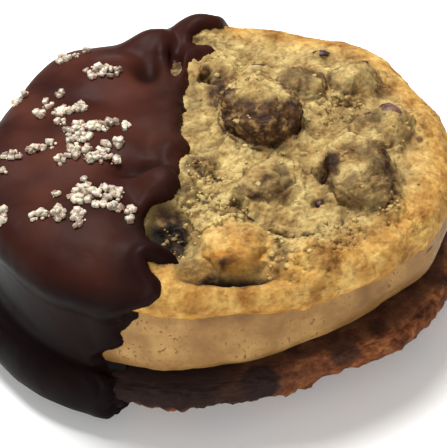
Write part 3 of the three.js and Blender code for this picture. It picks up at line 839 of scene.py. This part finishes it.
# %% Form of the coat
LEFT_PAST_LINE = -6
FINE_BAND = 7
CUT_PAST_LINE = -2.2
SMOOTH_ROUNDS = 5
WINDOW = (-6.8, 24.2, 1.1, 3.6)
SWELLS = [(-9.2, -5, 3.4, 1), (-10.2, -15.4, 4, 1.4), (-13, -36, 4, 1), (-8.5, 28, 2.4, 0.8), (-16, -4, 4, 0.9),
          (-8.6, 10, 3, 0.6), (-20, -30, 6, 0.8), (-26, 6, 6, 0.6)]


def widen_coat(turn, z):
    top = reach_at(TOP_REACH, turn) / COOKIE_RADIUS
    ice = (reach_at(ICE_REACH, turn) + 0.6) / (ICE_RADIUS + 0.6)
    foot = reach_at(BOTTOM_REACH, turn) / BOTTOM_RADIUS
    higher = mix(max(ice, top * 0.985), top, ease(ICE_LOW + 10, TOP_LOW, z))
    return mix(foot, higher, ease(ICE_LOW, ICE_LOW + 3.5, z))


coat = layer_from_ball(7, COAT_SECTION, 0, lambda z: 1 if z > 0.3 else 0.2, widen_coat)
far = [v for v in coat.verts if into_dip(*v.co) < LEFT_PAST_LINE]
bmesh.ops.delete(coat, geom=far, context="VERTS")
near_line = {v for v in coat.verts if v.co.z > 0.5 and into_dip(*v.co) < FINE_BAND}
edges = [e for e in coat.edges if all(v in near_line for v in e.verts)]
bmesh.ops.subdivide_edges(coat, edges=edges, cuts=1, use_grid_fill=True)
bmesh.ops.triangulate(coat, faces=coat.faces[:])
paint_layer = coat.verts.layers.float_color.new("paint")
inside = {}
for v in coat.verts:
    x, y, z = v.co
    p = v.co
    wobble = noise.noise(p / 4) * 0.5 + noise.noise(p / 1.3) * 0.2
    inside[v] = into_dip(x, y, z) + wobble
    if z > TOP_LOW + 5:
        inside[v] = min(inside[v], 1.3 * (dome_share(WINDOW, x, y) - 1))
    up = ease(TOP_LOW + 3.5, TOP_LOW + 7, z)
    rise = up * (soft_relief(x, y) + height_of(SWELLS, x, y) + 0.15)
    v.co.z = z + rise + lean_at(x, z)
gone = [v for v in coat.verts if inside[v] < CUT_PAST_LINE]
kept = {v: inside[v] for v in coat.verts if inside[v] >= CUT_PAST_LINE}
bmesh.ops.delete(coat, geom=gone, context="VERTS")
for _ in range(SMOOTH_ROUNDS):
    bmesh.ops.smooth_vert(coat, verts=coat.verts[:], factor=0.5,
                          use_axis_x=True, use_axis_y=True, use_axis_z=True)
coat.normal_update()
normals = {v: v.normal.copy() for v in coat.verts}
print("coat of", len(coat.verts), "points; furthest in is", round(max(kept.values()), 1), "mm from the line")

# %% [markdown]
# Each point now sinks by what the skin is short of its full thickness: nothing far inside the dipped side, all of
# it at the dip line, so that the edge rounds down onto the dough as a thick liquid does. A bead, where the
# liquid gathered before it set, runs beside the edge. Two dents in the side are x, y, z, radius and depth.
# Solidify then gives the skin an inner wall, so that it has a thickness where it could be seen.

# %% Skin and paint of the coat
FULL_SKIN = COAT_SKIN + 0.35
EDGE_ROUND = 1.7
BEAD_HEIGHT, BEAD_IN, BEAD_WIDE = 0.35, 2.2, 1.3
WALL = 0.8
DENTS = [(-24, -33.5, 20.5, 3, 1.6), (-17.5, -38, 23, 2, 0.8)]


def short_of_skin(depth):
    if depth <= 0:
        return FULL_SKIN + 0.55 * min(-depth, 2)
    share = min(depth / EDGE_ROUND, 1)
    rounded = FULL_SKIN * (1 - math.sqrt(1 - (1 - share) ** 2))
    return rounded - BEAD_HEIGHT * math.exp(-((depth - BEAD_IN) / BEAD_WIDE) ** 2)


for v in coat.verts:
    depth = kept[v]
    low = v.co.z < 0.6
    move = noise.noise(v.co / 11) * 0.45 + noise.noise(v.co / 4.5) * 0.12 - short_of_skin(depth)
    # Painted shade over the hollows of the dough and in the dents, carried in the blue share.
    sunk_shade = height_of(HOLLOWS, v.co.x, v.co.y) * 0.3 if v.co.z > TOP_LOW + 4 else 0
    for cx, cy, cz, radius, deep in DENTS:
        near = ease(1, 0, math.dist(v.co, (cx, cy, cz)) / radius)
        move, sunk_shade = move - deep * near, max(sunk_shade, near)
    v.co = v.co + normals[v] * (0 if low else move)
    v.co.z = max(v.co.z, 0)
    # Painted light: the top gets lighter and redder where it faces up, towards the back and away from the dip
    # line.
    painted_top_light = ease(25, 34, v.co.z) * ease(-0.1, 0.6, normals[v].z) * mix(0.45, 1, ease(-36, 0, v.co.y))
    painted_top_light *= mix(0.5, 1, ease(2, 10, depth))
    v[paint_layer] = (min(1, painted_top_light * (0.85 + 0.6 * noise.noise(v.co / 9))), 0, min(sunk_shade, 0.9), 1)
bmesh.ops.solidify(coat, geom=coat.faces[:], thickness=WALL)
chocolate_coat = finish_piece(coat, "chocolate_coat", chocolate, "chocolate_dip")

# %% [markdown]
# Coarse salt breaks into small cubes and chips, white with a grey cast, and clumps where it fell damp. One
# crystal is a bevelled cube of a few dozen faces, squeezed, turned and dropped on the coat, and the clumps are
# two or three crystals high. The draw of numbers has a seed. A group is x, y, a count and two half widths.

# %% Groups of salt, in mm
SALT_GROUPS = [(-27.8, 27.6, 4, 2.2, 1), (-24.4, 29.2, 1, 0.4, 0.3), (-37.6, 15.4, 2, 0.8, 0.8),
               (-36, 17.4, 1, 0.5, 0.5), (-22.6, 20.4, 3, 1.4, 0.9), (-19.6, 19.2, 4, 1.8, 1.1),
               (-22.6, 17.8, 1, 0.4, 0.3), (-28.5, 14.6, 1, 0.7, 0.6), (-31.4, 11.6, 1, 0.8, 0.9),
               (-33, 8.6, 2, 0.7, 0.9), (-27.6, 7.6, 4, 2, 1.2), (-24.8, 9, 3, 0.8, 1.4),
               (-28.4, 3.4, 1, 0.9, 0.5), (-25.6, 1, 4, 2, 0.9), (-21.8, 1, 5, 1.8, 1),
               (-18.9, 3, 2, 0.9, 0.4), (-16.4, 1.6, 1, 0.6, 0.7),
               (-25, -2, 5, 1.9, 1.4), (-37.2, -4, 3, 1.5, 0.5), (-33, -3.2, 3, 1.6, 0.6),
               (-30, -2.6, 1, 0.7, 0.8), (-38.8, -7.8, 1, 0.6, 0.4), (-28.4, -7.4, 2, 0.6, 1),
               (-26, -6, 3, 1.1, 1.2),
               (-23.2, -7, 4, 1.1, 1.3), (-20.5, -5, 2, 0.8, 0.8), (-18, -4, 2, 0.8, 1), (-20, -8.2, 5, 2, 0.8),
               (-24.2, -13.8, 1, 0.4, 0.4), (-29, -17.2, 1, 0.6, 0.7), (-24.4, -18.4, 7, 2, 1.7),
               (-19.8, -18.8, 7, 2.4, 1.5), (-31.6, -22.8, 3, 1.6, 0.8), (-28.2, -23.4, 3, 0.9, 1.2),
               (-24.8, -24.8, 4, 1.1, 1.5), (-21.4, -22, 2, 1, 0.4), (-18.4, -22.8, 3, 1.1, 0.5),
               (-16, -24, 3, 0.6, 1.5), (-38.6, -20.4, 3, 0.7, 1.2)]
CRYSTALS_EACH = 7
print(len(SALT_GROUPS), "groups of", sum(group[2] for group in SALT_GROUPS) * CRYSTALS_EACH, "crystals in all")

# %% Salt
salt_finish, tree, shader = new_material("coarse_salt", Roughness=0.45, IOR=1.54, Subsurface_Weight=0.3,
                                         Subsurface_Scale=0.0008)
place = add(tree, "ShaderNodeTexCoord").outputs["Object"]
cast = add(tree, "ShaderNodeTexNoise", {"Vector": place, "Scale": 500, "Detail": 3, "Roughness": 0.6})
white = add(tree, "ShaderNodeValToRGB", {0: cast.outputs[0]},
            [(0.38, light("#7E6A58")), (0.6, light("#D0C2AC"))])
tree.links.new(white.outputs[0], shader.inputs["Base Color"])

draw = random.Random(7)
coat_surface = surface_of(chocolate_coat)


def drop(bm, x, y, size, lift):
    """Drops one crystal on the coat, or none where there is no coat."""
    hit = straight_down(coat_surface, x, y)
    if hit is None:
        return
    crystal = bmesh.ops.create_cube(bm, size=size)["verts"]
    squeeze = (draw.uniform(0.8, 1.25), draw.uniform(0.6, 1), draw.uniform(0.55, 0.9))
    bmesh.ops.scale(bm, vec=squeeze, verts=crystal)
    turn = Matrix.Rotation(draw.uniform(0, math.tau), 3, "Z") @ Matrix.Rotation(draw.gauss(0, 0.45), 3, "X")
    bmesh.ops.rotate(bm, cent=(0, 0, 0), matrix=turn, verts=crystal)
    bmesh.ops.translate(bm, vec=hit + Vector((0, 0, lift + 0.22 * size)), verts=crystal)


crystals = bmesh.new()
for cx, cy, count, half_x, half_y in SALT_GROUPS:
    for _ in range(count * CRYSTALS_EACH):
        angle, out = draw.uniform(0, math.tau), math.sqrt(draw.random())
        x, y = cx + 1.2 * half_x * out * math.cos(angle), cy + 1.5 * half_y * out * math.sin(angle)
        drop(crystals, x, y, 0.35 + 1.05 * draw.random() ** 1.4, draw.choice((0, 0.3, 0.8)) * (1 - out))
bmesh.ops.bevel(crystals, geom=crystals.edges[:], offset=0.12, offset_type="OFFSET", affect="EDGES", segments=1,
                profile=0.5, material=-1)
finish_piece(crystals, "coarse_salt_grains", salt_finish)

# %% [markdown]
# The stage is a plain pale floor under soft studio light: one wide lamp above and behind, which gives the
# chocolate its broad highlight, a weaker one from the front, and an even sky.

# %% Floor and light
FLOOR_HALF = 1.5
SKY_STRENGTH = 0.3

floor = bmesh.new()
bmesh.ops.create_grid(floor, x_segments=1, y_segments=1, size=FLOOR_HALF)
mesh = bpy.data.meshes.new("floor")
floor.to_mesh(mesh)
floor.free()
ground_plane = bpy.data.objects.new("floor", mesh)
bpy.context.scene.collection.objects.link(ground_plane)
paper, _, shader = new_material("white_paper", Roughness=0.9)
shader.inputs["Base Color"].default_value = light("#FBFBFA")
mesh.materials.append(paper)

world = bpy.data.worlds.new("sky")
bpy.context.scene.world = world
world.use_nodes = True
sky = world.node_tree.nodes["Background"]
sky.inputs["Color"].default_value = light("#FFFFFF")
sky.inputs["Strength"].default_value = SKY_STRENGTH


def lamp(name, spot, aim, size, power):
    """A round area lamp at a spot, aimed at a point, with its size in metres and its power in watts."""
    data = bpy.data.lights.new(name, "AREA")
    data.shape, data.size, data.energy = "DISK", size, power
    made = bpy.data.objects.new(name, data)
    made.location = spot
    made.rotation_euler = (Vector(aim) - Vector(spot)).to_track_quat("-Z", "Y").to_euler()
    bpy.context.scene.collection.objects.link(made)
    print(name, "of", power, "W")


lamp("key_light", (-0.14, 0.3, 0.8), (0, 0, 0.02), 0.45, 12.2)
lamp("front_light", (-0.02, -0.52, 0.3), (0, 0, 0.02), 0.3, 1.8)
